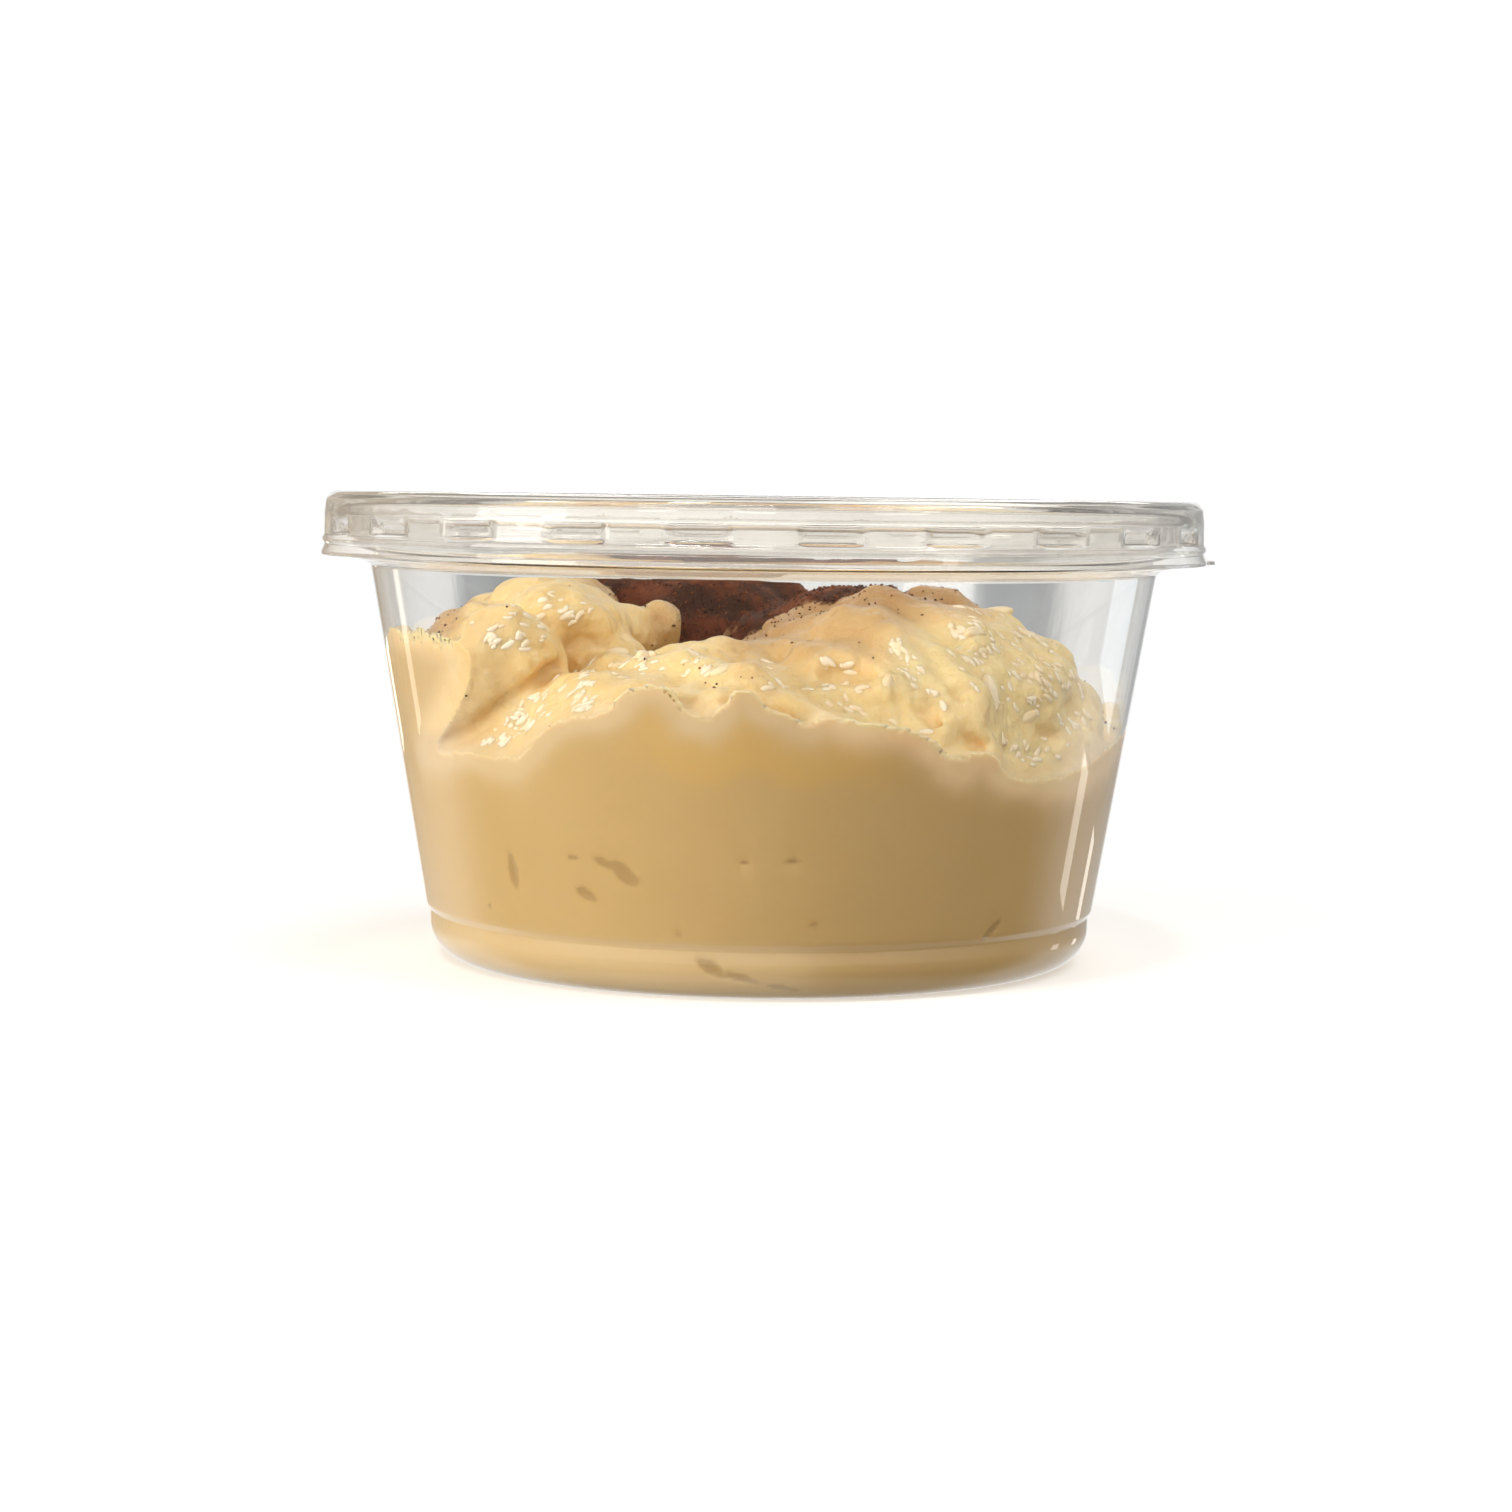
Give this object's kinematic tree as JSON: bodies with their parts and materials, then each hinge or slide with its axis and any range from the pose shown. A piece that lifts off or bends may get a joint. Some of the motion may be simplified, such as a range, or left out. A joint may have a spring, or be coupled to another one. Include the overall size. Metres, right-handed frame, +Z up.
{
  "type": "rice pudding in a lidded cup",
  "caption": "Rice pudding heaped in a round clear plastic cup and dusted with cinnamon, under a shut clear lid; stands on its flat base.",
  "frame": {"origin": "centre of the flat resting ring under the cup, on the table", "axes": "+Z up, -Y towards the viewer of the front, +X to the right; the small pull tab of the lid points to +X"},
  "size_m": [0.1203, 0.1188, 0.0621],
  "materials": {
    "cup_plastic": "clear thermoformed PET, smooth and glossy",
    "lid_plastic": "clear thermoformed PET, smooth and glossy",
    "pudding": "moist cream rice pudding, soft gloss, smooth against the cup and grainy with rice on top, cinnamon dust in the middle"
  },
  "bodies": {
    "root": {"cup": "cup_plastic", "lid": "lid_plastic", "pudding": "pudding"}
  },
  "joints": []
}
